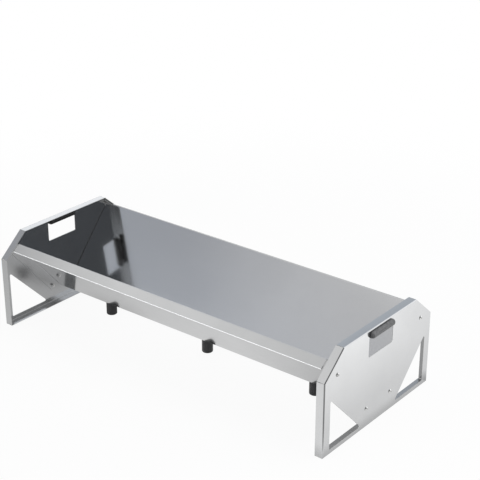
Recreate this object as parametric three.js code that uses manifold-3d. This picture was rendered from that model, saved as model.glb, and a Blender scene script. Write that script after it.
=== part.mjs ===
// A long feed trough for goats and sheep: a folded V-shaped body of sheet steel between two
// folded end plates that stand on the floor, with rubber hand grips and rubber feet.
//
// Millimetres. The model stands on z = 0 with its length along x and its front facing -y.
// It is built in the end plates' own directions and turned upright as a whole at the end:
// local x runs from the front edge to the back edge, local y runs up, local z runs along.

import * as THREE from 'three';
import { mergeVertices } from 'three/addons/utils/BufferGeometryUtils.js';
import Module from 'manifold-3d';

const wasm = await Module();
wasm.setup();

// Overall size
const LENGTH = 940;                 // between the outer faces of the end plates
const WIDTH = 400;                  // front edge to back edge of an end plate
const HEIGHT = 228;                 // floor to the top edge of an end plate

// Fits shared by all pieces
const SEAT = 0.3;                   // clearance between pieces that rest on each other
const OVERRUN = 5;                  // how far a cutter runs past what it cuts
const WELD = 0.0001;                // vertices closer than this are one vertex

// End plates: one sheet each, cut out and folded inwards along all six edges
const PLATE_SHEET = 1.2;            // thickness
const PLATE_FLANGE = 20;            // width of the folded edge, from the outer face
const PLATE_BEND = 2.4;             // outside radius of the fold
const SHOULDER_HEIGHT = 173;        // floor to where the upper corners start to slope
const SHOULDER_RUN = 64;            // how far the slope reaches in from the edge
const MITRE_GAP = 0.8;              // slit between two neighbouring folded edges

// Triangular cut-outs that leave two legs and a foot rail on each end plate
const LEG_STRIP = 22;               // upright strip outside the triangle
const RAIL_STRIP = 11;              // strip below the triangle
const WEB_WIDTH = 130;              // plate left between the two triangles at their base
const TRIANGLE_RISE = 116;          // height of the upright side
const TRIANGLE_ROUND = 3;           // corner radius

// Hand hold below the top edge of each end plate
const HOLD_WIDTH = 90;
const HOLD_TOP_STRIP = 14.5;        // plate left between the hand hold and the top edge
const HOLD_HEIGHT = 48;
const HOLD_ROUND = 3;               // corner radius

// Rubber grip: an oval sleeve, slit along its top and pushed up over the hold's top edge
const GRIP_THICKNESS = 19;          // through the plate
const GRIP_HEIGHT = 15;
const GRIP_UP = 2;                  // from the hold's top edge up to the grip's middle
const GRIP_CORNER_SHARE = 0.93;     // corner radius of its section, of half its height
const GRIP_END_ROUND = 4.5;         // radius on its ends
const GRIP_END_GAP = 1.7;           // between the grip and each side of the hand hold

// Body: one sheet with a flat floor, two sloping walls and a folded-down lip on each wall
const BODY_SHEET = 1;               // thickness
const BODY_BEND = 2.6;              // radius of the folds at the middle of the sheet
const FLOOR_WIDTH = 36;             // between the two floor folds
const RIM_INSET = 40;               // from the plate's front edge in to the rim fold
const RIM_DROP = 3;                 // rim fold below the plate's sloping edge
const LIP_REACH = 20;               // from the rim fold out to the lip's edge
const LIP_DROP = 14;                // from the rim fold down to the lip's edge
const LIP_SETBACK = 24;             // from the plate's outer face to the lip's cut end
const RIM_RELIEF = 6;               // wall cut away below the rim fold beside that cut end
const HEM_WIDTH = 9;                // width of the sheet folded back under the lip's edge
const HEM_GAP = 0.6;                // space left inside that fold
const HEM_BEND_SHARE = 0.45;        // its fold radius, of the distance between the two layers

// Tabs at the wall ends, bent outwards and bolted to the end plates
const TAB_WIDTH = 25;               // from the wall out to the tab's edge
const TAB_SETBACK = 10;             // from each end of the wall to the tab
const TAB_BEND = 1.8;               // radius of the fold at the middle of the sheet
const TAB_CORNER = 6;               // chamfer on its outer corners
const TAB_RELIEF = 1.5;             // slot beside each end of the fold

// Button-head bolts and hexagon nuts that hold the tabs
const BOLT_DIAMETER = 5;
const BOLT_HOLE = 5.8;
const BOLT_HEAD_DIAMETER = 9.5;
const BOLT_HEAD_HEIGHT = 2.8;
const BOLT_FROM_WALL = 15.5;        // from the wall to the bolt's middle
const BOLT_SETBACK = 24;            // from each end of the wall to the bolt's middle
const BOLT_PAST_NUT = 2;            // thread showing past the nut
const NUT_ACROSS_FLATS = 8;
const NUT_HEIGHT = 4;

// Rubber feet under the floor of the body, each on a bolt from inside
const FOOT_DIAMETER = 26;
const FOOT_HEIGHT = 36;
const FOOT_ROUND = 2.5;             // radius on the lower edge
const FOOT_SETBACK = 162.5;         // from an end plate's outer face to the nearest foot
const FOOT_BOLT_DIAMETER = 6;
const FOOT_BOLT_DEPTH = 18;         // thread inside the foot
const FOOT_BOLT_HOLE = 6.8;
const FOOT_HEAD_DIAMETER = 10.5;
const FOOT_HEAD_HEIGHT = 3.3;
const WASHER_DIAMETER = 18;
const WASHER_THICKNESS = 1.6;

// Facets on round stretches
const FOLD_STEPS = 5;
const ROUND_STEPS = 4;
const BOLT_SIDES = 16;
const FOOT_SIDES = 32;
const GRIP_STEPS = 6;

// Finishes
const steel = { color: 0xc6c9cb, roughness: 0.28, metalness: 0.95, flatShading: true };
const plated = { color: 0xd2d3d2, roughness: 0.22, metalness: 1, flatShading: true };
const rubber = { color: 0x242426, roughness: 0.75, metalness: 0, flatShading: true };

// Places that follow from the sizes above
const holdTop = HEIGHT - HOLD_TOP_STRIP;
const floorMiddle = FOOT_HEIGHT + SEAT + BODY_SHEET / 2;
const washerSeat = floorMiddle + BODY_SHEET / 2 + SEAT;
const rimFold = new THREE.Vector2(RIM_INSET - WIDTH / 2, plateTopAt(RIM_INSET) - RIM_DROP);
const floorFold = new THREE.Vector2(-FLOOR_WIDTH / 2, floorMiddle);
const wallLength = rimFold.distanceTo(floorFold);
const wallMiddle = rimFold.clone().add(floorFold).divideScalar(2);
const wallDown = floorFold.clone().sub(rimFold).normalize();
const wallOut = new THREE.Vector2(wallDown.y, -wallDown.x);
const bodyEnd = LENGTH / 2 - PLATE_SHEET - SEAT;
const tabMiddle = bodyEnd - BODY_SHEET / 2;
const nutSeat = PLATE_SHEET + BODY_SHEET + 2 * SEAT;
const footPitch = LENGTH / 2 - FOOT_SETBACK;
const feet = [
  { where: 'left', z: -footPitch },
  { where: 'middle', z: 0 },
  { where: 'right', z: footPitch },
];

// Height of the end plate's upper edge at a distance in from its front edge
function plateTopAt(inset) {
  const slope = (HEIGHT - SHOULDER_HEIGHT) / SHOULDER_RUN;
  return Math.min(HEIGHT, SHOULDER_HEIGHT + slope * inset);
}

// A closed geometry as a solid that can be cut and joined
function solid(geometry) {
  const bare = geometry.clone();
  bare.deleteAttribute('normal');
  bare.deleteAttribute('uv');
  const welded = mergeVertices(bare, WELD);
  const index = welded.index.array;
  const triangles = [];
  for (let i = 0; i < index.length; i += 3) {
    const [a, b, c] = index.slice(i, i + 3);
    if (a !== b && b !== c && c !== a) triangles.push(a, b, c);
  }
  return new wasm.Manifold(new wasm.Mesh({
    numProp: 3,
    vertProperties: new Float32Array(welded.attributes.position.array),
    triVerts: new Uint32Array(triangles),
  }));
}

// A finished solid as a named mesh
function piece(name, finish, shape) {
  const { numProp, vertProperties, triVerts } = shape.getMesh();
  const geometry = new THREE.BufferGeometry();
  geometry.setAttribute('position', new THREE.BufferAttribute(vertProperties, numProp));
  geometry.setIndex(new THREE.BufferAttribute(triVerts, 1));
  const mesh = new THREE.Mesh(geometry, new THREE.MeshStandardMaterial(finish));
  mesh.name = name;
  return mesh;
}

// The arc of one fold, at a distance to the left of a line that turns at a corner
function foldArc(before, corner, after, radius, left) {
  const into = corner.clone().sub(before).normalize();
  const away = after.clone().sub(corner).normalize();
  const turn = Math.atan2(into.cross(away), into.dot(away));
  const hand = Math.sign(turn);
  const tangent = radius * Math.tan(Math.abs(turn) / 2);
  const side = new THREE.Vector2(-into.y, into.x);
  const centre = corner.clone().addScaledVector(into, -tangent).addScaledVector(side, hand * radius);
  const start = side.multiplyScalar(-hand).angle();
  const reach = radius - hand * left;
  return new THREE.EllipseCurve(centre.x, centre.y, reach, reach, start, start + turn, turn < 0);
}

// A closed outline through the corners, each rounded by the same radius
function roundedOutline(corners, radius, steps = ROUND_STEPS) {
  const points = corners.flatMap((corner, i) => {
    const before = corners[(i + corners.length - 1) % corners.length];
    const after = corners[(i + 1) % corners.length];
    return foldArc(before, corner, after, radius, 0).getPoints(steps);
  });
  return new THREE.Shape(points);
}

// The left edge of a folded sheet whose middle line runs through the corners
function sheetEdge(corners, radii, sheet) {
  const edgeAt = (end, from, to) => {
    const along = to.clone().sub(from).normalize();
    return new THREE.Vector2(end.x - along.y * sheet / 2, end.y + along.x * sheet / 2);
  };
  const folds = radii.flatMap((radius, i) => {
    const [before, corner, after] = corners.slice(i, i + 3);
    return foldArc(before, corner, after, radius, sheet / 2).getPoints(FOLD_STEPS);
  });
  const [first, second] = corners;
  const [nextToLast, last] = corners.slice(-2);
  return [edgeAt(first, first, second), ...folds, edgeAt(last, nextToLast, last)];
}

// The closed outline of that folded sheet
function sheetOutline(corners, radii, sheet) {
  const there = sheetEdge(corners, radii, sheet);
  const back = sheetEdge([...corners].reverse(), [...radii].reverse(), sheet);
  return new THREE.Shape([...there, ...back]);
}

// A flat outline extruded from one depth to another
function extruded(outline, from, to) {
  const geometry = new THREE.ExtrudeGeometry(outline, {
    depth: to - from,
    bevelEnabled: false,
    curveSegments: BOLT_SIDES / 2,
  });
  return geometry.translate(0, 0, from);
}

// A cutter for a round hole through the point (x, y), from one depth to another
function drill(diameter, x, y, from, to) {
  const bore = new THREE.CylinderGeometry(diameter / 2, diameter / 2, to - from, BOLT_SIDES);
  return solid(bore.rotateX(Math.PI / 2).translate(x, y, (from + to) / 2));
}

// Where a bolt holds the front (face -1) or back (face 1) wall, near its top (-1) or foot (1)
function boltSpot(face, level) {
  const down = level * (wallLength / 2 - BOLT_SETBACK);
  const spot = wallMiddle.clone().addScaledVector(wallDown, down);
  spot.addScaledVector(wallOut, BOLT_FROM_WALL);
  return { x: -face * spot.x, y: spot.y };
}

// The six corners of an end plate
function plateCorners() {
  const half = WIDTH / 2;
  return [
    new THREE.Vector2(-half, 0),
    new THREE.Vector2(half, 0),
    new THREE.Vector2(half, SHOULDER_HEIGHT),
    new THREE.Vector2(half - SHOULDER_RUN, HEIGHT),
    new THREE.Vector2(SHOULDER_RUN - half, HEIGHT),
    new THREE.Vector2(-half, SHOULDER_HEIGHT),
  ];
}

// A block on the end plate's outline, drawn in by an inset and rounded around its outer face
function plateBlock(inset, bend, from) {
  const geometry = new THREE.ExtrudeGeometry(new THREE.Shape(plateCorners()), {
    depth: PLATE_FLANGE,
    bevelThickness: bend,
    bevelSize: bend,
    bevelOffset: -bend - inset,
    bevelSegments: ROUND_STEPS,
  });
  return solid(geometry.translate(0, 0, from + bend));
}

// The slit where two folded edges meet at a corner of the end plate
function mitreSlit(before, corner, after) {
  const into = corner.clone().sub(before).normalize();
  const away = after.clone().sub(corner).normalize();
  const length = 2 * (PLATE_SHEET + OVERRUN);
  const depth = PLATE_FLANGE - PLATE_BEND + OVERRUN;
  const slit = new THREE.BoxGeometry(length, MITRE_GAP, depth);
  slit.rotateZ(away.sub(into).angle());
  return solid(slit.translate(corner.x, corner.y, PLATE_BEND + depth / 2));
}

// The triangle cut out at the front (face -1) or the back (face 1) of an end plate
function triangleCut(face) {
  const outer = WIDTH / 2 - LEG_STRIP;
  const corners = [
    new THREE.Vector2(face * outer, RAIL_STRIP),
    new THREE.Vector2(face * outer, RAIL_STRIP + TRIANGLE_RISE),
    new THREE.Vector2(face * WEB_WIDTH / 2, RAIL_STRIP),
  ];
  const outline = roundedOutline(corners, TRIANGLE_ROUND);
  return solid(extruded(outline, -OVERRUN, PLATE_SHEET + OVERRUN));
}

// The hand hold's opening, drawn in by an inset
function holdCut(inset) {
  const half = HOLD_WIDTH / 2 - inset;
  const top = holdTop - inset;
  const bottom = holdTop - HOLD_HEIGHT + inset;
  const corners = [
    new THREE.Vector2(-half, bottom),
    new THREE.Vector2(half, bottom),
    new THREE.Vector2(half, top),
    new THREE.Vector2(-half, top),
  ];
  return solid(extruded(roundedOutline(corners, HOLD_ROUND), -OVERRUN, PLATE_SHEET + OVERRUN));
}

// End plate: a folded tray with mitred corners, two triangles, a hand hold and bolt holes
function endPlate(name) {
  const corners = plateCorners();
  const hollow = plateBlock(PLATE_SHEET, PLATE_BEND - PLATE_SHEET, PLATE_SHEET);
  const trim = new THREE.BoxGeometry(WIDTH + OVERRUN, HEIGHT + OVERRUN, PLATE_FLANGE);
  trim.translate(0, HEIGHT / 2, PLATE_FLANGE * 3 / 2);
  let plate = plateBlock(0, PLATE_BEND, 0).subtract(hollow).subtract(solid(trim));
  corners.forEach((corner, i) => {
    const before = corners[(i + corners.length - 1) % corners.length];
    const after = corners[(i + 1) % corners.length];
    plate = plate.subtract(mitreSlit(before, corner, after));
  });
  [-1, 1].forEach((face) => {
    plate = plate.subtract(triangleCut(face));
    [-1, 1].forEach((level) => {
      const { x, y } = boltSpot(face, level);
      plate = plate.subtract(drill(BOLT_HOLE, x, y, -OVERRUN, OVERRUN));
    });
  });
  return piece(name, steel, plate.subtract(holdCut(0)));
}

// The sleeve of a grip before it is slit: an oval section drawn along, with rounded ends
function gripSleeve() {
  const outer = GRIP_THICKNESS / 2;
  const upper = GRIP_HEIGHT / 2;
  const corners = [
    new THREE.Vector2(-outer, -upper),
    new THREE.Vector2(outer, -upper),
    new THREE.Vector2(outer, upper),
    new THREE.Vector2(-outer, upper),
  ];
  const length = HOLD_WIDTH - 2 * GRIP_END_GAP;
  const section = roundedOutline(corners, upper * GRIP_CORNER_SHARE, GRIP_STEPS);
  const sleeve = new THREE.ExtrudeGeometry(section, {
    depth: length - 2 * GRIP_END_ROUND,
    bevelThickness: GRIP_END_ROUND,
    bevelSize: GRIP_END_ROUND,
    bevelOffset: -GRIP_END_ROUND,
    bevelSegments: ROUND_STEPS,
  });
  sleeve.translate(0, 0, GRIP_END_ROUND - length / 2).rotateY(Math.PI / 2);
  return solid(sleeve.translate(0, holdTop + GRIP_UP, PLATE_SHEET / 2));
}

// Rubber grip, with a slit that takes the sheet above the hand hold
function grip(name) {
  const sheet = new THREE.BoxGeometry(WIDTH, HEIGHT, PLATE_SHEET + 2 * SEAT);
  const slit = solid(sheet.translate(0, holdTop, PLATE_SHEET / 2)).subtract(holdCut(SEAT));
  return piece(name, rubber, gripSleeve().subtract(slit));
}

// A button-head bolt around local y: the head lies below its seat at y = 0, the shank above it
function boltShape(diameter, length, headDiameter, headHeight) {
  const head = headDiameter / 2;
  const domeRadius = (head * head + headHeight * headHeight) / (2 * headHeight);
  const domeAngle = Math.asin(head / domeRadius);
  const outline = new THREE.Path();
  outline.absarc(0, domeRadius - headHeight, domeRadius, -Math.PI / 2, domeAngle - Math.PI / 2, false);
  outline.lineTo(diameter / 2, 0);
  outline.lineTo(diameter / 2, length);
  outline.lineTo(0, length);
  return new THREE.LatheGeometry(outline.getPoints(ROUND_STEPS / 2), BOLT_SIDES);
}

// Bolt through an end plate and a tab
function tabBolt(name) {
  const length = nutSeat + NUT_HEIGHT + BOLT_PAST_NUT + SEAT;
  const shape = boltShape(BOLT_DIAMETER, length, BOLT_HEAD_DIAMETER, BOLT_HEAD_HEIGHT);
  return piece(name, plated, solid(shape.rotateX(Math.PI / 2).translate(0, 0, -SEAT)));
}

// Hexagon nut on the inner side of a tab
function tabNut(name) {
  const corner = NUT_ACROSS_FLATS / 2 / Math.cos(Math.PI / 6);
  const ring = new THREE.EllipseCurve(0, 0, corner, corner, 0, 2 * Math.PI, false);
  const outline = new THREE.Shape(ring.getPoints(6).slice(1));
  outline.holes.push(new THREE.Path().absarc(0, 0, BOLT_DIAMETER / 2 + SEAT, 0, 2 * Math.PI, true));
  return piece(name, plated, solid(extruded(outline, nutSeat, nutSeat + NUT_HEIGHT)));
}

// The body's cross-section: hem, lip, wall, floor, and the same again at the back
function bodyOutline() {
  const lipEdge = new THREE.Vector2(rimFold.x - LIP_REACH, rimFold.y - LIP_DROP);
  const lipIn = rimFold.clone().sub(lipEdge).normalize();
  const lipUnder = new THREE.Vector2(lipIn.y, -lipIn.x);
  const layers = BODY_SHEET + HEM_GAP;
  const hemFold = lipEdge.clone().addScaledVector(lipUnder, layers);
  const hemEnd = hemFold.clone().addScaledVector(lipIn, HEM_WIDTH);
  const front = [hemEnd, hemFold, lipEdge, rimFold, floorFold];
  const back = front.map((corner) => new THREE.Vector2(-corner.x, corner.y)).reverse();
  const hemBend = layers * HEM_BEND_SHARE;
  const bends = [hemBend, hemBend, BODY_BEND, BODY_BEND];
  return sheetOutline([...front, ...back], [...bends, ...[...bends].reverse()], BODY_SHEET);
}

// Sets a shape beside the middle of a wall, at one end (end -1 or 1) of the trough. The shape is
// drawn with x towards that end, y out from the wall and z along the slope.
function besideWall(geometry, face, end) {
  const towardsEnd = new THREE.Vector3(0, 0, end);
  const out = new THREE.Vector3(-face * wallOut.x, wallOut.y, 0);
  const place = new THREE.Matrix4().makeBasis(towardsEnd, out, towardsEnd.clone().cross(out));
  place.setPosition(-face * wallMiddle.x, wallMiddle.y, 0);
  return solid(geometry.applyMatrix4(place));
}

// The tab on one end of one wall: a folded strip with chamfered outer corners
function wallTab(face, end) {
  const half = wallLength / 2 - TAB_SETBACK;
  const line = [
    new THREE.Vector2(tabMiddle - 2 * TAB_BEND, 0),
    new THREE.Vector2(tabMiddle, 0),
    new THREE.Vector2(tabMiddle, TAB_WIDTH),
  ];
  const strip = extruded(sheetOutline(line, [TAB_BEND], BODY_SHEET), -half, half);
  let tab = besideWall(strip, face, end);
  const side = TAB_CORNER * Math.SQRT2;
  [-1, 1].forEach((corner) => {
    const chamfer = new THREE.BoxGeometry(OVERRUN, side, side).rotateX(Math.PI / 4);
    tab = tab.subtract(besideWall(chamfer.translate(tabMiddle, TAB_WIDTH, corner * half), face, end));
  });
  return tab;
}

// The piece of wall end that the tab's fold and its two relief slots replace
function tabRecess(face, end) {
  const length = TAB_BEND + OVERRUN;
  const span = wallLength - 2 * TAB_SETBACK + 2 * TAB_RELIEF;
  const recess = new THREE.BoxGeometry(length, BODY_SHEET + OVERRUN, span);
  return besideWall(recess.translate(tabMiddle - TAB_BEND + length / 2, 0, 0), face, end);
}

// The notch that cuts one end of a lip off its wall
function lipNotch(face, end) {
  const length = LIP_SETBACK + OVERRUN;
  const size = 2 * (LIP_REACH + LIP_DROP);
  const above = size / 2 - RIM_RELIEF + wallLength / 2;
  const notch = new THREE.BoxGeometry(length, size, size);
  const middle = LENGTH / 2 - LIP_SETBACK + length / 2;
  return besideWall(notch.translate(middle, 0, face * end * above), face, end);
}

// Body: the folded trough with its tabs, bolt holes and the holes for the feet
function troughBody(name) {
  let body = solid(extruded(bodyOutline(), -bodyEnd, bodyEnd));
  [-1, 1].forEach((face) => {
    [-1, 1].forEach((end) => {
      body = body.subtract(lipNotch(face, end)).subtract(tabRecess(face, end));
      body = body.add(wallTab(face, end));
    });
    [-1, 1].forEach((level) => {
      const { x, y } = boltSpot(face, level);
      body = body.subtract(drill(BOLT_HOLE, x, y, -LENGTH / 2, LENGTH / 2));
    });
  });
  feet.forEach(({ z }) => {
    const radius = FOOT_BOLT_HOLE / 2;
    const hole = new THREE.CylinderGeometry(radius, radius, 2 * OVERRUN, BOLT_SIDES);
    body = body.subtract(solid(hole.translate(0, floorMiddle, z)));
  });
  return piece(name, steel, body);
}

// Rubber foot with a blind hole for its bolt
function foot(name) {
  const radius = FOOT_DIAMETER / 2;
  const hole = FOOT_BOLT_DIAMETER / 2 + SEAT;
  const holeFloor = FOOT_HEIGHT - FOOT_BOLT_DEPTH - SEAT;
  const outline = new THREE.Path();
  outline.moveTo(0, 0);
  outline.lineTo(radius - FOOT_ROUND, 0);
  outline.absarc(radius - FOOT_ROUND, FOOT_ROUND, FOOT_ROUND, -Math.PI / 2, 0, false);
  outline.lineTo(radius, FOOT_HEIGHT);
  outline.lineTo(hole, FOOT_HEIGHT);
  outline.lineTo(hole, holeFloor);
  outline.lineTo(0, holeFloor);
  const block = new THREE.LatheGeometry(outline.getPoints(ROUND_STEPS / 2), FOOT_SIDES);
  return piece(name, rubber, solid(block));
}

// Washer on the trough's floor, under the head of a foot's bolt
function washer(name) {
  const inner = FOOT_BOLT_DIAMETER / 2 + SEAT;
  const outer = WASHER_DIAMETER / 2;
  const outline = [
    new THREE.Vector2(inner, 0),
    new THREE.Vector2(outer, 0),
    new THREE.Vector2(outer, WASHER_THICKNESS),
    new THREE.Vector2(inner, WASHER_THICKNESS),
    new THREE.Vector2(inner, 0),
  ];
  return piece(name, plated, solid(new THREE.LatheGeometry(outline, FOOT_SIDES)));
}

// Bolt from inside the trough down into a foot
function footBolt(name) {
  const length = washerSeat + WASHER_THICKNESS + SEAT - FOOT_HEIGHT + FOOT_BOLT_DEPTH;
  const shape = boltShape(FOOT_BOLT_DIAMETER, length, FOOT_HEAD_DIAMETER, FOOT_HEAD_HEIGHT);
  return piece(name, plated, solid(shape.rotateX(Math.PI)));
}

// One end of the trough: plate, grip, bolts and nuts, with the outer face at local z = 0.
// The right end is the left end turned half round, so its front is the other face.
function endAssembly(side, turn) {
  const end = new THREE.Group();
  end.add(endPlate(`end_plate_${side}`), grip(`grip_${side}`));
  [-1, 1].forEach((face) => {
    [-1, 1].forEach((level) => {
      const depth = face * turn < 0 ? 'front' : 'back';
      const height = level < 0 ? 'upper' : 'lower';
      const where = `${side}_${depth}_${height}`;
      const { x, y } = boltSpot(face, level);
      [tabBolt(`bolt_${where}`), tabNut(`nut_${where}`)].forEach((fastener) => {
        fastener.position.set(x, y, 0);
        end.add(fastener);
      });
    });
  });
  end.position.z = -turn * LENGTH / 2;
  end.rotation.y = turn < 0 ? Math.PI : 0;
  return end;
}

// One foot with its washer and bolt
function footAssembly({ where, z }) {
  const group = new THREE.Group();
  const ring = washer(`foot_washer_${where}`);
  const bolt = footBolt(`foot_bolt_${where}`);
  ring.position.y = washerSeat;
  bolt.position.y = washerSeat + WASHER_THICKNESS + SEAT;
  group.add(foot(`foot_${where}`), ring, bolt);
  group.position.z = z;
  return group;
}

const trough = new THREE.Group();
trough.add(troughBody('trough_body'));
trough.add(endAssembly('left', 1), endAssembly('right', -1));
feet.forEach((place) => trough.add(footAssembly(place)));

// Upright: the cross-section's x and y become the trough's depth and height
trough.rotation.set(0, Math.PI / 2, Math.PI / 2);

export default trough;
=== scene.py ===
# %% [markdown]
# A feed trough for small livestock
#
# The real trough is folded from bright steel sheet. A long V-shaped body hangs between two end
# plates, and the plates stand on the ground on folded edges. Round rubber feet carry the middle,
# and a rubber grip sits in each hand hold. This lesson dresses the finished model: it gives the
# sheet its mirror-like finish, the rubber its dull one, and puts fine detail on small pieces.
# The model comes in as a fixed frame in metres, so every new piece is placed by its sizes.

# %% Load the frame
import math

import bpy
from mathutils import Matrix, Vector


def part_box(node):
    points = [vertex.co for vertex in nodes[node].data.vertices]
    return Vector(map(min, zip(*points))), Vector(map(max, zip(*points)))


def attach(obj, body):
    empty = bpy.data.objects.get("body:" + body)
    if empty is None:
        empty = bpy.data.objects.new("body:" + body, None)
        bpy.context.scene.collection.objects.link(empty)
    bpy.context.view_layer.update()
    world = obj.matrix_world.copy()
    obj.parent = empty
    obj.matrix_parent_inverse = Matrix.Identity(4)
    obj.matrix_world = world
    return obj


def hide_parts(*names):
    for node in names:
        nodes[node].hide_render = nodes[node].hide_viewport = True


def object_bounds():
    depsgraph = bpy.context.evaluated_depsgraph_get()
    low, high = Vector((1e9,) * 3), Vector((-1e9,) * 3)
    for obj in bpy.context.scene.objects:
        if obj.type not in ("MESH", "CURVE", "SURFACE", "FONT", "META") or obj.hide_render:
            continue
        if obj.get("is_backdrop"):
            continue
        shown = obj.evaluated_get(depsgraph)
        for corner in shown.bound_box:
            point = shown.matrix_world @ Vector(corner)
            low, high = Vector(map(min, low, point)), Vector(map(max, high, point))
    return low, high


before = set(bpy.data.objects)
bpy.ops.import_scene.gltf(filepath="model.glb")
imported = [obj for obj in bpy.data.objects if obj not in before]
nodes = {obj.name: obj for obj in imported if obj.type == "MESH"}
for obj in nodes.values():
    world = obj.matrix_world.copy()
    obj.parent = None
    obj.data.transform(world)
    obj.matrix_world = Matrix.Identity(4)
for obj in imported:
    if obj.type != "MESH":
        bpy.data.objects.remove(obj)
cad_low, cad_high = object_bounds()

print("pieces in the frame:", len(nodes))
print("lowest and highest corner:", tuple(cad_low), tuple(cad_high))

# %% Units and names of places
MM = 0.001
SIDES = ("left", "right")
BOLT_PLACES = [f"{side}_{face}_{level}" for side in SIDES
               for face in ("front", "back") for level in ("upper", "lower")]
FOOT_PLACES = ("left", "middle", "right")
print("bolts:", len(BOLT_PLACES), "feet:", len(FOOT_PLACES))

# %% [markdown]
# The camera
#
# The photograph looks down on the trough from its front right corner. The camera could be
# turned by hand until the picture fits, but sight lines through known corners give the place
# directly: it stands 1.7 m to the right, 2 m in front and almost 1.5 m up, with a long lens.

# %% Place the camera
CAMERA_PLACE = Vector((1.713, -2.018, 1.462))
VIEW_DIRECTION = Vector((-0.571, 0.713, -0.407))
LENS = 96.9
SENSOR = 36.0

camera_data = bpy.data.cameras.new("camera")
camera_data.lens = LENS
camera_data.sensor_width = SENSOR
camera = bpy.data.objects.new("camera", camera_data)
camera.location = CAMERA_PLACE
camera.rotation_euler = VIEW_DIRECTION.to_track_quat("-Z", "Y").to_euler()
bpy.context.scene.collection.objects.link(camera)
bpy.context.scene.camera = camera
print("camera looks down by", round(math.degrees(math.asin(-VIEW_DIRECTION.z))), "degrees")

# %% [markdown]
# The studio
#
# Bright metal has almost no colour of its own: it shows the room. More lamps would only add
# bright spots to it, so the room itself is drawn as bands of tone: white at the horizon, grey
# at half height and paler again towards the ceiling. Four soft boxes lie over the bands. One
# stands high at the back, one lower at the back left and two at the front left. The lowest of
# them is strong and brightens the hem of the front lip. The camera's side is dark, and that is
# what draws the thin dark lines along the folds that face it.

# %% Node helpers
MIX_FACTOR, MIX_FIRST, MIX_SECOND, MIX_RESULT = 0, 6, 7, 2


def link(tree, source, target):
    """Join two sockets, or write a plain value into the target."""
    if isinstance(source, bpy.types.NodeSocket):
        tree.links.new(source, target)
    else:
        target.default_value = source


def math_node(tree, operation, first, second=0.0, third=0.0):
    node = tree.nodes.new("ShaderNodeMath")
    node.operation = operation
    for socket, value in zip(node.inputs, (first, second, third)):
        link(tree, value, socket)
    return node.outputs["Value"]


def times(tree, *values):
    """Multiply values with each other."""
    product = values[0]
    for value in values[1:]:
        product = math_node(tree, "MULTIPLY", product, value)
    return product


def range_node(tree, value, low, high, to_low=0.0, to_high=1.0):
    """Map a value from one range to another, with soft ends."""
    node = tree.nodes.new("ShaderNodeMapRange")
    node.interpolation_type = "SMOOTHSTEP"
    for name, setting in (("Value", value), ("From Min", low), ("From Max", high),
                          ("To Min", to_low), ("To Max", to_high)):
        link(tree, setting, node.inputs[name])
    return node.outputs["Result"]


def mix_colour(tree, factor, first, second, blend="MIX"):
    """Mix two colours. The factor may be above one, for a box brighter than white."""
    node = tree.nodes.new("ShaderNodeMix")
    node.data_type = "RGBA"
    node.blend_type = blend
    node.clamp_factor = False
    link(tree, factor, node.inputs[MIX_FACTOR])
    link(tree, first, node.inputs[MIX_FIRST])
    link(tree, second, node.inputs[MIX_SECOND])
    return node.outputs[MIX_RESULT]


def along(tree, vector, direction):
    """How far a vector points along a direction."""
    node = tree.nodes.new("ShaderNodeVectorMath")
    node.operation = "DOT_PRODUCT"
    link(tree, vector, node.inputs[0])
    node.inputs[1].default_value = Vector(direction).normalized()
    return node.outputs["Value"]


def aim_share(tree, vector, direction, wide, narrow):
    """One inside a cone round a direction, falling to zero outside a wider cone."""
    wide_edge = math.cos(math.radians(wide))
    narrow_edge = math.cos(math.radians(narrow))
    return range_node(tree, along(tree, vector, direction), wide_edge, narrow_edge)


print("node helpers ready")

# %% The room around the trough
WHITE = (1.0, 1.0, 1.0, 1.0)
ROOM_BANDS = [
    (0.00, (1.00, 1.00, 1.00, 1)),
    (0.30, (0.84, 0.84, 0.85, 1)),
    (0.45, (0.47, 0.51, 0.56, 1)),
    (0.60, (0.40, 0.42, 0.46, 1)),
    (0.675, (0.39, 0.39, 0.40, 1)),
    (0.715, (0.68, 0.68, 0.68, 1)),
    (0.75, (0.84, 0.84, 0.84, 1)),
    (0.80, (0.79, 0.79, 0.79, 1)),
    (0.85, (0.66, 0.66, 0.66, 1)),
    (1.00, (0.80, 0.80, 0.80, 1)),
]
SOFT_BOXES = [
    {"towards": (0.30, 0.77, 0.56), "wide": 34, "narrow": 22, "strength": 0.6},
    {"towards": (-0.70, 0.62, 0.34), "wide": 17, "narrow": 9, "strength": 0.42},
    {"towards": (-0.46, -0.57, 0.68), "wide": 10, "narrow": 2, "strength": 0.22},
    {"towards": (-0.57, -0.77, 0.27), "wide": 21, "narrow": 16, "strength": 2.6},
]
DARK_SIDE_START = 0.12
DARK_SIDE_END = 0.42
DARK_SIDE_TONE = 0.26

world = bpy.data.worlds.new("studio")
bpy.context.scene.world = world
world.use_nodes = True
room = world.node_tree
room.nodes.clear()
direction = room.nodes.new("ShaderNodeTexCoord").outputs["Generated"]
split = room.nodes.new("ShaderNodeSeparateXYZ")
room.links.new(direction, split.inputs[0])
bands = room.nodes.new("ShaderNodeValToRGB")
room.links.new(split.outputs["Z"], bands.inputs[0])
ramp = bands.color_ramp
while len(ramp.elements) < len(ROOM_BANDS):
    ramp.elements.new(1.0)
for element, (height, colour) in zip(ramp.elements, ROOM_BANDS):
    element.position = height
    element.color = colour

to_camera = along(room, direction, (-VIEW_DIRECTION.x, -VIEW_DIRECTION.y, 0))
dimming = range_node(room, to_camera, DARK_SIDE_START, DARK_SIDE_END, 1.0, DARK_SIDE_TONE)
lit = mix_colour(room, 1.0, bands.outputs[0], dimming, "MULTIPLY")
for box in SOFT_BOXES:
    share = aim_share(room, direction, box["towards"], box["wide"], box["narrow"])
    lit = mix_colour(room, times(room, share, box["strength"]), lit, WHITE, "ADD")

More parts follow.
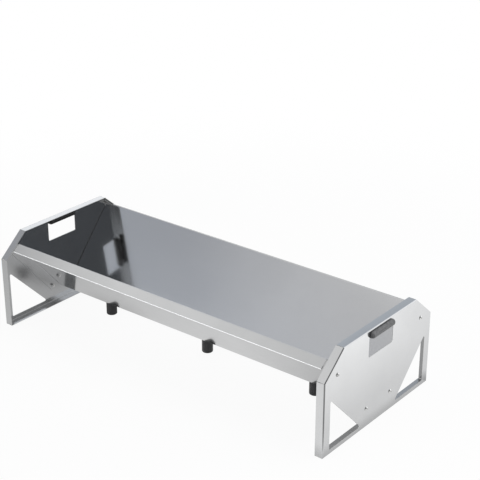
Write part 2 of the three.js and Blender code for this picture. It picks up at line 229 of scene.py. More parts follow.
# The camera itself sees plain white
seen = room.nodes.new("ShaderNodeLightPath").outputs["Is Camera Ray"]
background = room.nodes.new("ShaderNodeBackground")
room.links.new(mix_colour(room, seen, lit, WHITE), background.inputs["Color"])
output = room.nodes.new("ShaderNodeOutputWorld")
room.links.new(background.outputs[0], output.inputs["Surface"])
print("room bands:", len(ROOM_BANDS), "soft boxes:", len(SOFT_BOXES))

# %% [markdown]
# The floor
#
# The camera sees a white floor that keeps a faint shadow close to the trough. The metal mirrors
# the same floor, and photographers lay grey cards there to give a plate its tones. Real cards
# would show, so here the floor has a second tone that only mirrored rays see. It is worked out
# from the place on the floor: across from left to right, and away from the front to the back.

# %% Lay the floor
FLOOR_SIZE = 14.0
FLOOR_DROP = 0.5 * MM

bpy.ops.object.select_all(action="DESELECT")
bpy.ops.mesh.primitive_plane_add(size=FLOOR_SIZE, location=(0, 0, -FLOOR_DROP))
floor = bpy.context.object
floor.name = "floor"
floor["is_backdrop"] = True

floor_material = bpy.data.materials.new("studio_floor")
floor_material.use_nodes = True
tree = floor_material.node_tree
tree.nodes.clear()
place = tree.nodes.new("ShaderNodeSeparateXYZ")
tree.links.new(tree.nodes.new("ShaderNodeTexCoord").outputs["Object"], place.inputs[0])
across, away = place.outputs["X"], place.outputs["Y"]
print("floor size:", FLOOR_SIZE, "m")

# %% The floor's mirrored tone
MIDDLE_TONE = 0.82
TONE_SLOPE = 0.32
LOWEST_TONE, HIGHEST_TONE = 0.25, 1.0


def hold(tree, value, low, high):
    """Keep a value between two limits."""
    return math_node(tree, "MINIMUM", math_node(tree, "MAXIMUM", value, low), high)


def darken(tree, tone, cover, darkest):
    """Multiply a tone by the darkest share where the cover is one, and keep it where it is zero."""
    return times(tree, tone, math_node(tree, "MULTIPLY_ADD", cover, darkest - 1.0, 1.0))


# Paler to the right, greyer to the left
tone = math_node(tree, "MULTIPLY_ADD", across, TONE_SLOPE, MIDDLE_TONE)
tone = hold(tree, tone, LOWEST_TONE, HIGHEST_TONE)
print("tone below the middle of the trough:", MIDDLE_TONE)

# %% Shade below and beside the trough
UNDER_END, UNDER_TONE = 0.6, 0.45
BESIDE_REACH, BESIDE_TONE = 0.05, 0.74

# The trough's shadow is painted into the floor's mirrored tone: below the trough and close beside
# it
past_end = math_node(tree, "SUBTRACT", across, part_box("end_plate_right")[1].x)
past_side = math_node(tree, "SUBTRACT", math_node(tree, "ABSOLUTE", away), cad_high.y)
outside = math_node(tree, "MAXIMUM", past_end, past_side)

# Both shades grow towards the right end
is_below = math_node(tree, "LESS_THAN", outside, 0.0)
below = times(tree, is_below, range_node(tree, across, 0.0, UNDER_END))
tone = darken(tree, tone, below, UNDER_TONE)
is_beside = math_node(tree, "GREATER_THAN", past_side, 0.0)
beside = times(tree, is_beside, range_node(tree, outside, 0.0, BESIDE_REACH, 1.0, 0.0),
               range_node(tree, across, cad_low.x / 2, cad_high.x))
tone = darken(tree, tone, beside, BESIDE_TONE)
print("darkest share below:", UNDER_TONE, "and beside:", BESIDE_TONE)

# %% Past the right end
PALE_SLOPE, PALE_BASE = 1.8, -0.074
PALE_LOW, PALE_HIGH = 0.88, 1.35
BACK_START, BACK_END, BACK_TONE = 0.30, 0.55, 0.9
FAR_START, FAR_END, FAR_TONE = 0.85, 1.2, 0.7
FOOT_REACH, FOOT_TONE = 0.03, 0.75

# The floor's mirrored tone is painted paler with the distance, so that the outer end plate pales
# upwards, and painted darker right beside the plate's foot as shade
paler = math_node(tree, "MULTIPLY_ADD", across, PALE_SLOPE, PALE_BASE)
paler = hold(tree, paler, PALE_LOW, PALE_HIGH)
paler = times(tree, paler, range_node(tree, away, BACK_START, BACK_END, 1.0, BACK_TONE),
              range_node(tree, across, FAR_START, FAR_END, 1.0, FAR_TONE),
              range_node(tree, past_end, 0.0, FOOT_REACH, FOOT_TONE, 1.0))
is_past = times(tree, math_node(tree, "GREATER_THAN", past_end, 0.0),
                math_node(tree, "GREATER_THAN", away, cad_low.y))
change = math_node(tree, "SUBTRACT", paler, 1.0)
tone = times(tree, tone, math_node(tree, "MULTIPLY_ADD", is_past, change, 1.0))
print("palest share past the end:", PALE_HIGH)

# %% A dark wedge and two dark cards
WEDGE_SLOPE, WEDGE_REACH, WEDGE_SOFT, WEDGE_TONE = 1.5, 0.94, 0.03, 0.3
WEDGE_FADE_START, WEDGE_FADE_END = 0.80, 0.95
# The first card is the trough's shade painted on the floor under its left end. The second darkens
# the floor behind the trough's left half
CARDS = [
    {"across": (-0.405, -0.22), "away": (0.015, 0.20), "soft": 0.05, "tone": 0.45},
    {"across": (-0.90, -0.10), "away": (0.23, 0.60), "soft": 0.008, "tone": 0.2},
]

# The wedge lies between the right end and the camera, beyond a slanting line
beyond = math_node(tree, "MULTIPLY_ADD", across, WEDGE_SLOPE, -WEDGE_REACH)
beyond = math_node(tree, "SUBTRACT", beyond, away)
wedge = times(tree, range_node(tree, beyond, 0.0, WEDGE_SOFT),
              range_node(tree, across, WEDGE_FADE_START, WEDGE_FADE_END, 1.0, 0.0))
tone = darken(tree, tone, wedge, WEDGE_TONE)

for card in CARDS:
    cover = 1.0
    for value, (start_at, end_at) in ((across, card["across"]), (away, card["away"])):
        soft = card["soft"]
        rising = range_node(tree, value, start_at - soft, start_at + soft)
        falling = range_node(tree, value, end_at - soft, end_at + soft, 1.0, 0.0)
        cover = times(tree, cover, rising, falling)
    tone = darken(tree, tone, cover, card["tone"])
print("dark cards:", len(CARDS))

# %% The floor's shader
FLOOR_COLOUR = (0.88, 0.88, 0.88, 1)
NEAR_WHITE = 0.94
PURE_START, PURE_END = 0.8, 1.8
MIRRORED_WHITE = 0.8

path = tree.nodes.new("ShaderNodeLightPath")
mirrored = math_node(tree, "MAXIMUM", path.outputs["Is Glossy Ray"],
                     path.outputs["Is Transmission Ray"])
squares = math_node(tree, "ADD", times(tree, across, across), times(tree, away, away))
distance = math_node(tree, "SQRT", squares)
seen_white = range_node(tree, distance, PURE_START, PURE_END, NEAR_WHITE, 1.0)
white_share = times(tree, path.outputs["Is Camera Ray"], seen_white)
white_share = math_node(tree, "MULTIPLY_ADD", mirrored, MIRRORED_WHITE, white_share)
tint = mix_colour(tree, mirrored, WHITE, tone)
diffuse = tree.nodes.new("ShaderNodeBsdfDiffuse")
tree.links.new(mix_colour(tree, 1.0, tint, FLOOR_COLOUR, "MULTIPLY"), diffuse.inputs["Color"])
glow = tree.nodes.new("ShaderNodeEmission")
tree.links.new(tint, glow.inputs["Color"])
blend = tree.nodes.new("ShaderNodeMixShader")
tree.links.new(white_share, blend.inputs[0])
tree.links.new(diffuse.outputs[0], blend.inputs[1])
tree.links.new(glow.outputs[0], blend.inputs[2])
output = tree.nodes.new("ShaderNodeOutputMaterial")
tree.links.new(blend.outputs[0], output.inputs["Surface"])
floor.data.materials.append(floor_material)
print("the floor is pure white from", PURE_END, "m on")

# %% The lamp
LAMP_PLACE = Vector((1.8, 0.3, 2.4))
LAMP_AIM = Vector((0, 0, 0.1))
LAMP_SIZE = 1.4
LAMP_POWER = 26

# It lights the rubber and casts the shadow. The metal doesn't mirror it, and shows the boxes
lamp_data = bpy.data.lights.new("right", "AREA")
lamp_data.shape = "SQUARE"
lamp_data.size = LAMP_SIZE
lamp_data.energy = LAMP_POWER
lamp = bpy.data.objects.new("right", lamp_data)
lamp.location = LAMP_PLACE
lamp.rotation_euler = (LAMP_AIM - LAMP_PLACE).to_track_quat("-Z", "Y").to_euler()
lamp.visible_glossy = False
bpy.context.scene.collection.objects.link(lamp)
bpy.context.scene.view_settings.view_transform = "Standard"
print("lamp:", lamp.name, LAMP_POWER, "W")

# %% [markdown]
# Finishes
#
# The sheet is rolled smooth and plated, so reflections are clear but a little soft. No sheet is
# quite flat, rolling leaves faint lines, and hands leave patches that are a little duller. One
# noise could stand for all three, but they differ in size and direction. So each of them is a
# node group with its own inputs, and every material uses it in its own way.

# %% Node groups for the finishes
EVENLY = (1.0, 1.0, 1.0)


def new_group(name, inputs, outputs):
    """A shader node group with named inputs and outputs, and its inner sockets."""
    group = bpy.data.node_groups.new(name, "ShaderNodeTree")
    for label, value in inputs.items():
        kind = "NodeSocketVector" if isinstance(value, tuple) else "NodeSocketFloat"
        socket = group.interface.new_socket(name=label, in_out="INPUT", socket_type=kind)
        socket.default_value = value
    for label in outputs:
        group.interface.new_socket(name=label, in_out="OUTPUT", socket_type="NodeSocketFloat")
    inner_inputs = group.nodes.new("NodeGroupInput").outputs
    inner_outputs = group.nodes.new("NodeGroupOutput").inputs
    return group, inner_inputs, inner_outputs


def noise(tree, vector, scale, detail=2.0, roughness=0.5):
    node = tree.nodes.new("ShaderNodeTexNoise")
    link(tree, vector, node.inputs["Vector"])
    link(tree, scale, node.inputs["Scale"])
    node.inputs["Detail"].default_value = detail
    node.inputs["Roughness"].default_value = roughness
    return node.outputs["Fac"]


def stretched_place(tree, stretch):
    """Object coordinates, scaled by a vector."""
    place = tree.nodes.new("ShaderNodeTexCoord").outputs["Object"]
    node = tree.nodes.new("ShaderNodeVectorMath")
    node.operation = "MULTIPLY"
    tree.links.new(place, node.inputs[0])
    link(tree, stretch, node.inputs[1])
    return node.outputs["Vector"]


def add_group(tree, group, **values):
    """Put a node group into a material, with its own values."""
    node = tree.nodes.new("ShaderNodeGroup")
    node.node_tree = group
    for label, value in values.items():
        link(tree, value, node.inputs[label])
    return node.outputs


rolled_grain, ins, outs = new_group(
    "rolled_grain", {"Stretch": (4.0, 900.0, 900.0), "Coarse": 1.0}, ["Lines"])
place = stretched_place(rolled_grain, ins["Stretch"])
lines = noise(rolled_grain, place, ins["Coarse"], detail=4.0, roughness=0.7)
rolled_grain.links.new(lines, outs["Lines"])

soft_waves, ins, outs = new_group("soft_waves", {"Stretch": (5.0, 8.0, 8.0)}, ["Height"])
place = stretched_place(soft_waves, ins["Stretch"])
waves = noise(soft_waves, place, 1.0, detail=1.0, roughness=0.4)
soft_waves.links.new(waves, outs["Height"])

handling_marks, ins, outs = new_group(
    "handling_marks", {"Size": 9.0, "Sharpness": 0.16}, ["Mask"])
place = stretched_place(handling_marks, EVENLY)
patches = noise(handling_marks, place, ins["Size"], detail=5.0, roughness=0.6)
lower = math_node(handling_marks, "SUBTRACT", 0.5, ins["Sharpness"])
upper = math_node(handling_marks, "ADD", 0.5, ins["Sharpness"])
handling_marks.links.new(range_node(handling_marks, patches, lower, upper), outs["Mask"])
print("groups:", ", ".join(group.name for group in bpy.data.node_groups))

# %% The steel finishes
PATCH_TONE = 0.965
LINES_LOW, LINES_HIGH = 0.3, 0.7
LINE_DEPTH = 0.002 * MM
STEEL_COLOUR = (0.72, 0.725, 0.73, 1.0)
LINES_ALONG = (4.0, 900.0, 900.0)
LINES_UPRIGHT = (900.0, 900.0, 5.0)
SHEARED_GRAIN = (1500.0, 1500.0, 1500.0)
PLATED_GRAIN = (700.0, 700.0, 700.0)


def new_material(name):
    material = bpy.data.materials.new(name)
    material.use_nodes = True
    return material, material.node_tree, material.node_tree.nodes["Principled BSDF"]


def add_bump(tree, shader, height, distance, strength=1.0, under=None):
    """Raise the surface by a height, on top of another bump if there is one."""
    bump = tree.nodes.new("ShaderNodeBump")
    bump.inputs["Distance"].default_value = distance
    bump.inputs["Strength"].default_value = strength
    link(tree, height, bump.inputs["Height"])
    if under is not None:
        tree.links.new(under, bump.inputs["Normal"])
    tree.links.new(bump.outputs["Normal"], shader.inputs["Normal"])
    return bump.outputs["Normal"]


def steel_material(name, colour, smooth, dull, stretch, wave_height):
    """Plated steel: fine lines or grain, soft waves and duller patches."""
    material, tree, shader = new_material(name)
    shader.inputs["Metallic"].default_value = 1.0
    lines = add_group(tree, rolled_grain, Stretch=stretch)["Lines"]
    marks = add_group(tree, handling_marks)["Mask"]
    waves = add_group(tree, soft_waves)["Height"]
    patch_colour = tuple(channel * PATCH_TONE for channel in colour[:3]) + (1.0,)
    tree.links.new(mix_colour(tree, marks, colour, patch_colour), shader.inputs["Base Color"])
    rough = range_node(tree, lines, LINES_LOW, LINES_HIGH, smooth, (smooth + dull) / 2)
    rough = math_node(tree, "MULTIPLY_ADD", marks, (dull - smooth) / 2, rough)
    tree.links.new(rough, shader.inputs["Roughness"])
    waved = add_bump(tree, shader, waves, wave_height)
    add_bump(tree, shader, lines, LINE_DEPTH, under=waved)
    return material


body_steel = steel_material("bright_sheet_along", STEEL_COLOUR, smooth=0.08, dull=0.13,
                            stretch=LINES_ALONG, wave_height=0.25 * MM)
plate_steel = steel_material("bright_sheet_upright", STEEL_COLOUR, smooth=0.09, dull=0.14,
                             stretch=LINES_UPRIGHT, wave_height=0.2 * MM)
# Duller than the bright sheet, and darker: its darker colour is painted shade on the inner sides
# and tabs
shaded_inner_steel = steel_material("dull_and_shaded_inner_side", (0.57, 0.575, 0.58, 1.0), smooth=0.14, dull=0.22,
                             stretch=LINES_UPRIGHT, wave_height=0.2 * MM)
sheared_steel = steel_material("sheared_edge", (0.62, 0.62, 0.61, 1.0), smooth=0.3, dull=0.5,
                               stretch=SHEARED_GRAIN, wave_height=0.05 * MM)
plated_steel = steel_material("plated_fastener", (0.88, 0.88, 0.87, 1.0), smooth=0.2, dull=0.32,
                              stretch=PLATED_GRAIN, wave_height=0.02 * MM)
print("steel finishes ready")

# %% The rubber finishes
SHADE_EDGE_SOFT = 2 * MM
RUBBER_SMOOTH, RUBBER_DULL = 0.42, 0.58
RUBBER_GRAIN = 2600.0
RUBBER_GRAIN_DEPTH, RUBBER_GRAIN_STRENGTH = 0.05 * MM, 0.6
# Painted shade: the near-black colour that the grips get inside the end plates
SHADED_RUBBER = (0.022, 0.022, 0.023, 1)


def rubber_material(name, dark, pale, patch_size, unshaded_from):
    """Moulded rubber: a fine grain, and patches of pale bloom beyond a distance from the middle.
    Nearer the middle it is painted near-black as shade.
    """
    material, tree, shader = new_material(name)
    marks = add_group(tree, handling_marks, Size=patch_size, Sharpness=0.2)["Mask"]
    where = stretched_place(tree, EVENLY)
    place = tree.nodes.new("ShaderNodeSeparateXYZ")
    tree.links.new(where, place.inputs[0])
    distance = math_node(tree, "ABSOLUTE", place.outputs["X"])
    unshaded = range_node(tree, distance, unshaded_from, unshaded_from + SHADE_EDGE_SOFT)
    bloom = mix_colour(tree, marks, dark, pale)
    tree.links.new(mix_colour(tree, unshaded, SHADED_RUBBER, bloom), shader.inputs["Base Color"])
    rough = range_node(tree, marks, 0, 1, RUBBER_SMOOTH, RUBBER_DULL)
    tree.links.new(rough, shader.inputs["Roughness"])
    grain = noise(tree, where, RUBBER_GRAIN)
    add_bump(tree, shader, grain, RUBBER_GRAIN_DEPTH, RUBBER_GRAIN_STRENGTH)
    return material


# The feet have their bloom everywhere, the grips only outside the end plates. Inside the plates the
# grips are painted near-black as shade
foot_rubber = rubber_material("foot_rubber", (0.030, 0.030, 0.032, 1), (0.042, 0.042, 0.043, 1),
                              patch_size=55.0, unshaded_from=-SHADE_EDGE_SOFT)
grip_rubber = rubber_material("grip_rubber", (0.100, 0.102, 0.105, 1), (0.200, 0.202, 0.205, 1),
                              patch_size=200.0, unshaded_from=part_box("end_plate_right")[1].x)
print("materials:", len(bpy.data.materials))

# %% [markdown]
# The sheet pieces
#
# The body and the end plates are already folded and cut true in the frame, but their surface is
# loose triangles. They could be folded again from a plane, but a copy is exact: it is merged
# into whole faces, its sheared edges get a hair-fine bevel that catches the light, and weighted
# normals keep the flats flat while the folds turn smoothly. Where two folds meet in a mitre, the
# line is marked sharp, or each fold would mirror its neighbour's part of the room. The inner
# sides of the end plates and the body's tabs are duller than the rest and painted darker as
# shade, so they are their own finish, and so are the sheared edges.

# %% Helpers for modelling
def start(name):
    """Give the object that the last operator added its name."""
    piece = bpy.context.object
    piece.name = name
    piece.data.name = name
    return piece


def activate(piece):
    bpy.ops.object.select_all(action="DESELECT")
    bpy.context.view_layer.objects.active = piece
    piece.select_set(True)


def settle(piece):
    """Put the object's place and turn into its mesh."""
    activate(piece)
    bpy.ops.object.transform_apply(location=True, rotation=True, scale=True)
    return piece


def apply_modifier(piece, kind, **settings):
    activate(piece)
    modifier = piece.modifiers.new(kind.lower(), kind)
    for name, value in settings.items():
        setattr(modifier, name, value)
    bpy.ops.object.modifier_apply(modifier=modifier.name)


def edit_all(piece, operator, **settings):
    """Run one edit operator on the whole mesh."""
    activate(piece)
    bpy.ops.object.mode_set(mode="EDIT")
    bpy.ops.mesh.select_all(action="SELECT")
    operator(**settings)
    bpy.ops.object.mode_set(mode="OBJECT")


def finish_normals(piece, angle):
    """Shade smooth below an angle, and let the large faces lead."""
    activate(piece)
    bpy.ops.object.shade_smooth_by_angle(angle=math.radians(angle))
    apply_modifier(piece, "WEIGHTED_NORMAL", mode="FACE_AREA", weight=100, keep_sharp=True)


def hand_over(piece, node, material=None):
    """Give the piece its finish and let it stand for its node."""
    if material is not None:
        piece.data.materials.clear()
        piece.data.materials.append(material)
    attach(piece, "root")
    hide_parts(node)


print("modelling helpers ready")

# %% Whole faces and mitre lines
MERGE_DISTANCE = 0.005 * MM
FLAT_ANGLE = math.radians(0.4)
BEND_SLANT = 0.02
MITRE_TURN = math.radians(5)


def whole_copy(node):
    """A copy of a node with its triangles merged into whole faces."""
    piece = bpy.data.objects.new(f"{node}_sheet", nodes[node].data.copy())
    bpy.context.scene.collection.objects.link(piece)
    activate(piece)
    bpy.ops.object.mode_set(mode="EDIT")
    bpy.ops.mesh.select_all(action="SELECT")
    bpy.ops.mesh.remove_doubles(threshold=MERGE_DISTANCE)
    bpy.ops.mesh.dissolve_limited(angle_limit=FLAT_ANGLE)
    bpy.ops.object.mode_set(mode="OBJECT")
    return piece


def faces_by_edge(mesh):
    """The faces on both sides of every edge."""
    neighbours = {}
    for face in mesh.polygons:
        for key in face.edge_keys:
            neighbours.setdefault(key, []).append(face)
    return neighbours


def part_bends(piece):
    """Mark the mitre lines, so that each bend keeps its own shading up to the corner."""
    neighbours = faces_by_edge(piece.data)
    marked = 0
    for edge in piece.data.edges:
        slants = [Vector((face.normal.y, face.normal.z)) for face in neighbours[edge.key]]
        if min(slant.length for slant in slants) <= BEND_SLANT:
            continue
        if slants[0].angle(slants[1]) > MITRE_TURN:
            edge.use_edge_sharp = True
            marked += 1
    return marked


print("faces turned by less than", round(math.degrees(FLAT_ANGLE), 1), "degrees are merged")

# %% Dress the sheet pieces
EDGE_BEVEL = 0.12 * MM
SHARP_ANGLE = math.radians(50)
NARROW_WIDTH = 1.3 * MM
ENDWARD = 0.9
BRIGHT_FINISH, DULL_SHADED_FINISH, SHEARED_FINISH = 0, 1, 2


def sort_faces(piece, is_dull_and_shaded):
    """Narrow faces between sharp edges are sheared. A test tells which of the rest are dull and
    painted darker as shade.
    """
    mesh = piece.data
    neighbours = faces_by_edge(mesh)
    counts = [0, 0, 0]
    for face in mesh.polygons:
        outline = sharp = 0.0
        for key in face.edge_keys:
            first, second = (mesh.vertices[i].co for i in key)
            length = (first - second).length
            outline += length
            sides = neighbours[key]
            if len(sides) == 2 and sides[0].normal.angle(sides[1].normal) > SHARP_ANGLE:
                sharp += length
        finish = DULL_SHADED_FINISH if is_dull_and_shaded(face) else BRIGHT_FINISH
        if sharp > outline / 2 and 2 * face.area < NARROW_WIDTH * outline:
            finish = SHEARED_FINISH
        face.material_index = finish
        counts[finish] += 1
    return counts


def dress_sheet(piece, node, bright, is_dull_and_shaded):
    """Give a sheet its three finishes, its fine edges and its normals."""
    piece.data.materials.clear()
    for material in (bright, shaded_inner_steel, sheared_steel):
        piece.data.materials.append(material)
    counts = sort_faces(piece, is_dull_and_shaded)
    apply_modifier(piece, "BEVEL", width=EDGE_BEVEL, segments=2, limit_method="ANGLE",
                   angle_limit=SHARP_ANGLE, use_clamp_overlap=False, material=SHEARED_FINISH)
    finish_normals(piece, 30)
    hand_over(piece, node)
    print(piece.name, "bright, dull and sheared faces:", counts)


# The tabs are the faces of the body that look towards its ends. They get the dull finish with its
# painted shade
dress_sheet(whole_copy("trough_body"), "trough_body", body_steel,
            lambda face: abs(face.normal.x) > ENDWARD)
for side in SIDES:
    node = f"end_plate_{side}"
    plate = whole_copy(node)
    print("mitre lines:", part_bends(plate))
    middle = sum(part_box(node), Vector()) / 2
    # The plate's inner side gets the dull finish with its painted shade
    dress_sheet(plate, node, plate_steel,
                lambda face: face.normal.dot(middle - face.center) > 0)

# %% [markdown]
# Button-head bolts
#
# A button head is a slice of a ball with a hexagon socket for the key. It could be spun from a
# profile, but cutting a ball with a plane gives the same dome in one step. The cut face is then
# inset to the width of the shank and pushed out, ring by ring, so that the thread's grooves are
# made on the way. The socket is cut last, and points that it leaves too close are merged, or the
# fine bevel would have no room.

# %% Helpers for picking and cutting
def pick(piece, kind, test):
    """Select the faces or edges that pass a test, and stay in edit mode."""
    bpy.ops.object.mode_set(mode="EDIT")
    bpy.ops.mesh.select_mode(type=kind)
    bpy.ops.mesh.select_all(action="DESELECT")
    bpy.ops.object.mode_set(mode="OBJECT")
    parts = piece.data.polygons if kind == "FACE" else piece.data.edges
    for part in parts:
        part.select = test(part)
    bpy.ops.object.mode_set(mode="EDIT")


def push(distance, width=None):
    """Extrude the selected face down by a distance, then scale it in plan."""
    bpy.ops.mesh.extrude_region_move(TRANSFORM_OT_translate={"value": (0, 0, -distance)})
    if width is not None:
        bpy.ops.transform.resize(value=(width, width, 1))


def block(sides, radius, depth, place=(0, 0, 0)):
    """An upright block with a number of sides, to shape or to cut with."""
    bpy.ops.object.select_all(action="DESELECT")
    bpy.ops.mesh.primitive_cylinder_add(vertices=sides, radius=radius, depth=depth, location=place)
    return bpy.context.object


def cut_with(piece, tool, operation="DIFFERENCE"):
    """Cut a piece with a tool, and throw the tool away."""
    apply_modifier(piece, "BOOLEAN", operation=operation, object=tool, solver="EXACT")
    bpy.data.objects.remove(tool)


def copy_to(model, name, matrix):
    """A copy with its own mesh, put in place by a matrix."""
    piece = bpy.data.objects.new(name, model.data.copy())
    bpy.context.scene.collection.objects.link(piece)
    piece.data.transform(matrix)
    return piece


print("picking and cutting helpers ready")

# %% Model a bolt
BALL_SEGMENTS = 48
CUT_THRESHOLD = 0.001 * MM
DOWNWARD = -0.9
THREAD_PITCH = 0.8 * MM
THREAD_SHARE = 0.84
KEY_SIDES = 6
SOCKET_DEPTH_SHARE = 0.55
SHORT_EDGE = 0.06 * MM
BOLT_BEVEL = 0.05 * MM


def button_bolt(name, head_width, head_height, shank_width, length, socket, smooth_length):
    """A bolt with its head on top, and the head's seat at height zero."""
    radius = head_width / 2
    ball = (radius ** 2 + head_height ** 2) / (2 * head_height)
    bpy.ops.object.select_all(action="DESELECT")
    bpy.ops.mesh.primitive_uv_sphere_add(segments=BALL_SEGMENTS, ring_count=BALL_SEGMENTS * 2,
                                         radius=ball, location=(0, 0, head_height - ball))
    bolt = settle(start(name))
    bpy.ops.object.mode_set(mode="EDIT")
    bpy.ops.mesh.select_all(action="SELECT")
    bpy.ops.mesh.bisect(plane_co=(0, 0, 0), plane_no=(0, 0, 1), use_fill=True, clear_inner=True,
                        threshold=CUT_THRESHOLD)
    pick(bolt, "FACE", lambda face: face.normal.z < DOWNWARD)
    bpy.ops.mesh.inset(thickness=radius - shank_width / 2)
    push(smooth_length)
    turns = int((length - smooth_length) / THREAD_PITCH)
    for _ in range(turns):
        push(THREAD_PITCH / 2, THREAD_SHARE)
        push(THREAD_PITCH / 2, 1 / THREAD_SHARE)
    push(length - smooth_length - turns * THREAD_PITCH, THREAD_SHARE)
    bpy.ops.object.mode_set(mode="OBJECT")

    cut_with(bolt, block(KEY_SIDES, socket / math.sqrt(3), 2 * head_height * SOCKET_DEPTH_SHARE,
                         (0, 0, head_height)))
    edit_all(bolt, bpy.ops.mesh.remove_doubles, threshold=SHORT_EDGE)
    apply_modifier(bolt, "BEVEL", width=BOLT_BEVEL, segments=2, limit_method="ANGLE",
                   angle_limit=SHARP_ANGLE, use_clamp_overlap=True)
    finish_normals(bolt, 40)
    return bolt


print("thread pitch:", THREAD_PITCH / MM, "mm")

# %% Make the tab bolts
TAB_HEAD_HEIGHT = 2.8 * MM

low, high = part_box("bolt_left_front_upper")
tab_bolt = button_bolt("tab_bolt_model", head_width=high.z - low.z, head_height=TAB_HEAD_HEIGHT,
                       shank_width=5 * MM, length=high.x - low.x - TAB_HEAD_HEIGHT,
                       socket=3 * MM, smooth_length=3 * MM)
for place in BOLT_PLACES:
    node = f"bolt_{place}"
    low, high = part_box(node)
    outward = -1 if "left" in place else 1
    seat = (low.x + TAB_HEAD_HEIGHT) if outward < 0 else (high.x - TAB_HEAD_HEIGHT)
    turn = Matrix.Rotation(outward * math.pi / 2, 4, "Y")
    middle = Vector((seat, (low.y + high.y) / 2, (low.z + high.z) / 2))
    bolt = copy_to(tab_bolt, f"{node}_button_head", Matrix.Translation(middle) @ turn)
    hand_over(bolt, node, plated_steel)
print("tab bolt faces:", len(tab_bolt.data.polygons))
bpy.data.objects.remove(tab_bolt)

# %% Make the foot bolts
FOOT_HEAD_HEIGHT = 3.3 * MM

low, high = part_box("foot_bolt_left")
foot_bolt = button_bolt("foot_bolt_model", head_width=high.x - low.x,
                        head_height=FOOT_HEAD_HEIGHT, shank_width=6 * MM,
                        length=high.z - low.z - FOOT_HEAD_HEIGHT,
                        socket=4 * MM, smooth_length=6 * MM)
for place in FOOT_PLACES:
    node = f"foot_bolt_{place}"
    low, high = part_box(node)
    seat = Vector(((low.x + high.x) / 2, (low.y + high.y) / 2, high.z - FOOT_HEAD_HEIGHT))
    bolt = copy_to(foot_bolt, f"{node}_button_head", Matrix.Translation(seat))
    hand_over(bolt, node, plated_steel)
bpy.data.objects.remove(foot_bolt)
print("foot bolts:", len(FOOT_PLACES))

# %% [markdown]
# Nuts and washers
#
# A nut is a six-sided block whose corners are turned off to a shallow cone on both faces. The
# corners could be cut one by one, but the part that a hexagon and a bevelled round share is the
# same shape. The bore is cut through afterwards, with a little play round the thread. A washer
# is a flat round with a bore and softly broken edges.

# %% Make the nuts
NUT_SIDES, ROUND_SIDES, BORE_SIDES = 6, 64, 48
NUT_CHAMFER = 0.55 * MM
NUT_ROUND_PLAY = 0.05 * MM
NUT_BORE_RADIUS = 2.8 * MM

low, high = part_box("nut_left_front_upper")
nut_height = high.x - low.x
nut_corner = (high.y - low.y) / 2
nut_model = settle(block(NUT_SIDES, nut_corner, nut_height))
turned_round = settle(block(ROUND_SIDES, nut_corner + NUT_ROUND_PLAY, nut_height))
apply_modifier(turned_round, "BEVEL", width=NUT_CHAMFER, segments=1, limit_method="ANGLE",
               angle_limit=SHARP_ANGLE)
cut_with(nut_model, turned_round, "INTERSECT")
cut_with(nut_model, block(BORE_SIDES, NUT_BORE_RADIUS, 2 * nut_height))
finish_normals(nut_model, 20)
for place in BOLT_PLACES:
    node = f"nut_{place}"
    low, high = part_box(node)
    wide_along_y = (high.y - low.y) > (high.z - low.z)
    spin = Matrix.Rotation(math.pi / 2 if wide_along_y else 0, 4, "Z")
    turn = Matrix.Rotation(math.pi / 2, 4, "Y") @ spin
    nut = copy_to(nut_model, f"{node}_hexagon", Matrix.Translation((low + high) / 2) @ turn)
    hand_over(nut, node, plated_steel)
bpy.data.objects.remove(nut_model)
print("nut corner radius:", round(nut_corner / MM, 2), "mm")

# %% Make the washers
WASHER_BORE_RADIUS = 3.3 * MM
WASHER_BEVEL = 0.2 * MM

low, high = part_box("foot_washer_left")
washer_height = high.z - low.z
washer_model = settle(block(ROUND_SIDES, (high.x - low.x) / 2, washer_height))
cut_with(washer_model, block(BORE_SIDES, WASHER_BORE_RADIUS, 2 * washer_height))
apply_modifier(washer_model, "BEVEL", width=WASHER_BEVEL, segments=3, limit_method="ANGLE",
               angle_limit=SHARP_ANGLE)
finish_normals(washer_model, 35)
for place in FOOT_PLACES:
    node = f"foot_washer_{place}"
    low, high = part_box(node)
    ring = copy_to(washer_model, f"{node}_ring", Matrix.Translation((low + high) / 2))
    hand_over(ring, node, plated_steel)
bpy.data.objects.remove(washer_model)
print("washers:", len(FOOT_PLACES))

# %% [markdown]
# Rubber feet
#
# Each foot is a plain rubber cylinder with a soft lower edge, moulded round a blind hole for its
# bolt. It could be spun from a profile, but a cylinder is quicker: its lower rim is bevelled
# wide, its upper rim only a little, and the top face is inset and pushed down to make the hole.

# %% Make the feet
FOOT_ROUND = 2.5 * MM
FOOT_TOP_ROUND = 0.5 * MM
FOOT_HOLE_RADIUS = 3.3 * MM
FOOT_HOLE_DEPTH = 18.3 * MM
HEIGHT_PLAY = 0.01 * MM
UPWARD = 0.99


def at_height(piece, height):
    """A test for the edges that lie at a height."""
    def test(edge):
        ends = [piece.data.vertices[i].co for i in edge.vertices]
        return all(abs(end.z - height) < HEIGHT_PLAY for end in ends)
    return test


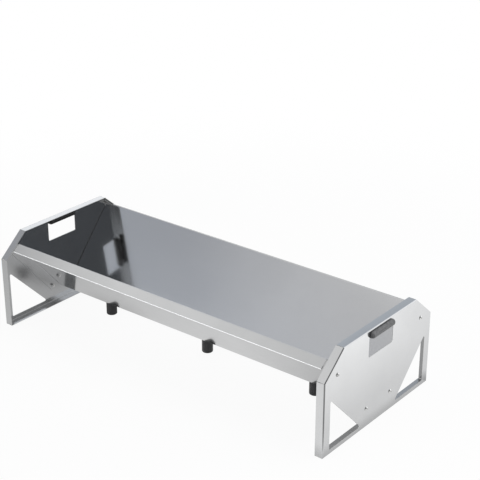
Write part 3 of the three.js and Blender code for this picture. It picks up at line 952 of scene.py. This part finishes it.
low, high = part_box("foot_left")
foot_radius = (high.x - low.x) / 2
foot_height = high.z - low.z
foot_model = settle(block(ROUND_SIDES, foot_radius, foot_height))
pick(foot_model, "EDGE", at_height(foot_model, -foot_height / 2))
bpy.ops.mesh.bevel(offset=FOOT_ROUND, segments=8, affect="EDGES")
pick(foot_model, "EDGE", at_height(foot_model, foot_height / 2))
bpy.ops.mesh.bevel(offset=FOOT_TOP_ROUND, segments=3, affect="EDGES")
pick(foot_model, "FACE", lambda face: face.normal.z > UPWARD)
bpy.ops.mesh.inset(thickness=foot_radius - FOOT_TOP_ROUND - FOOT_HOLE_RADIUS)
push(FOOT_HOLE_DEPTH)
bpy.ops.object.mode_set(mode="OBJECT")
finish_normals(foot_model, 40)
for place in FOOT_PLACES:
    node = f"foot_{place}"
    low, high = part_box(node)
    foot = copy_to(foot_model, f"{node}_moulded", Matrix.Translation((low + high) / 2))
    hand_over(foot, node, foot_rubber)
bpy.data.objects.remove(foot_model)
print("foot:", round(2 * foot_radius / MM, 1), "mm across")

# %% [markdown]
# Rubber grips
#
# A grip is one oval rubber sleeve with rounded ends, pushed up over the top edge of the hand
# hold. It could be lofted from ovals, but a block does as well: all its edges are bevelled until
# almost nothing flat is left of its height. That rounds the sides and the ends in one step. The
# slit for the sheet is cut from above.

# %% Make the grips
GRIP_ROUND = 6.97 * MM
GRIP_BELOW_HOLD = 5.5 * MM
PLATE_SHEET = 1.2 * MM
SLIT_PLAY = 0.3 * MM


def cube(place, size):
    """A block of a size at a place."""
    bpy.ops.object.select_all(action="DESELECT")
    bpy.ops.mesh.primitive_cube_add(size=1, location=place, scale=size)
    return bpy.context.object


def grip(side):
    """The sleeve of one hand hold, with its slit round the sheet."""
    node = f"grip_{side}"
    low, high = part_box(node)
    size = high - low
    cube((low + high) / 2, size)
    sleeve = settle(start(f"{node}_moulded"))
    edit_all(sleeve, bpy.ops.mesh.bevel, offset=GRIP_ROUND, segments=12, affect="EDGES")

    outward = -1 if side == "left" else 1
    plate_low, plate_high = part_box(f"end_plate_{side}")
    plate_face = plate_low.x if outward < 0 else plate_high.x
    slit_floor = low.z + GRIP_BELOW_HOLD - 2 * SLIT_PLAY
    slit_place = (plate_face - outward * PLATE_SHEET / 2, 0, slit_floor + size.z / 2)
    cut_with(sleeve, settle(cube(slit_place, (PLATE_SHEET + 2 * SLIT_PLAY, 2 * size.y, size.z))))
    finish_normals(sleeve, 40)
    hand_over(sleeve, node, grip_rubber)
    return sleeve


for side in SIDES:
    sleeve = grip(side)
    print(sleeve.name, "faces:", len(sleeve.data.polygons))

# %% Print the visual box
low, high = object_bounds()
print("visual box:", tuple(low), tuple(high))
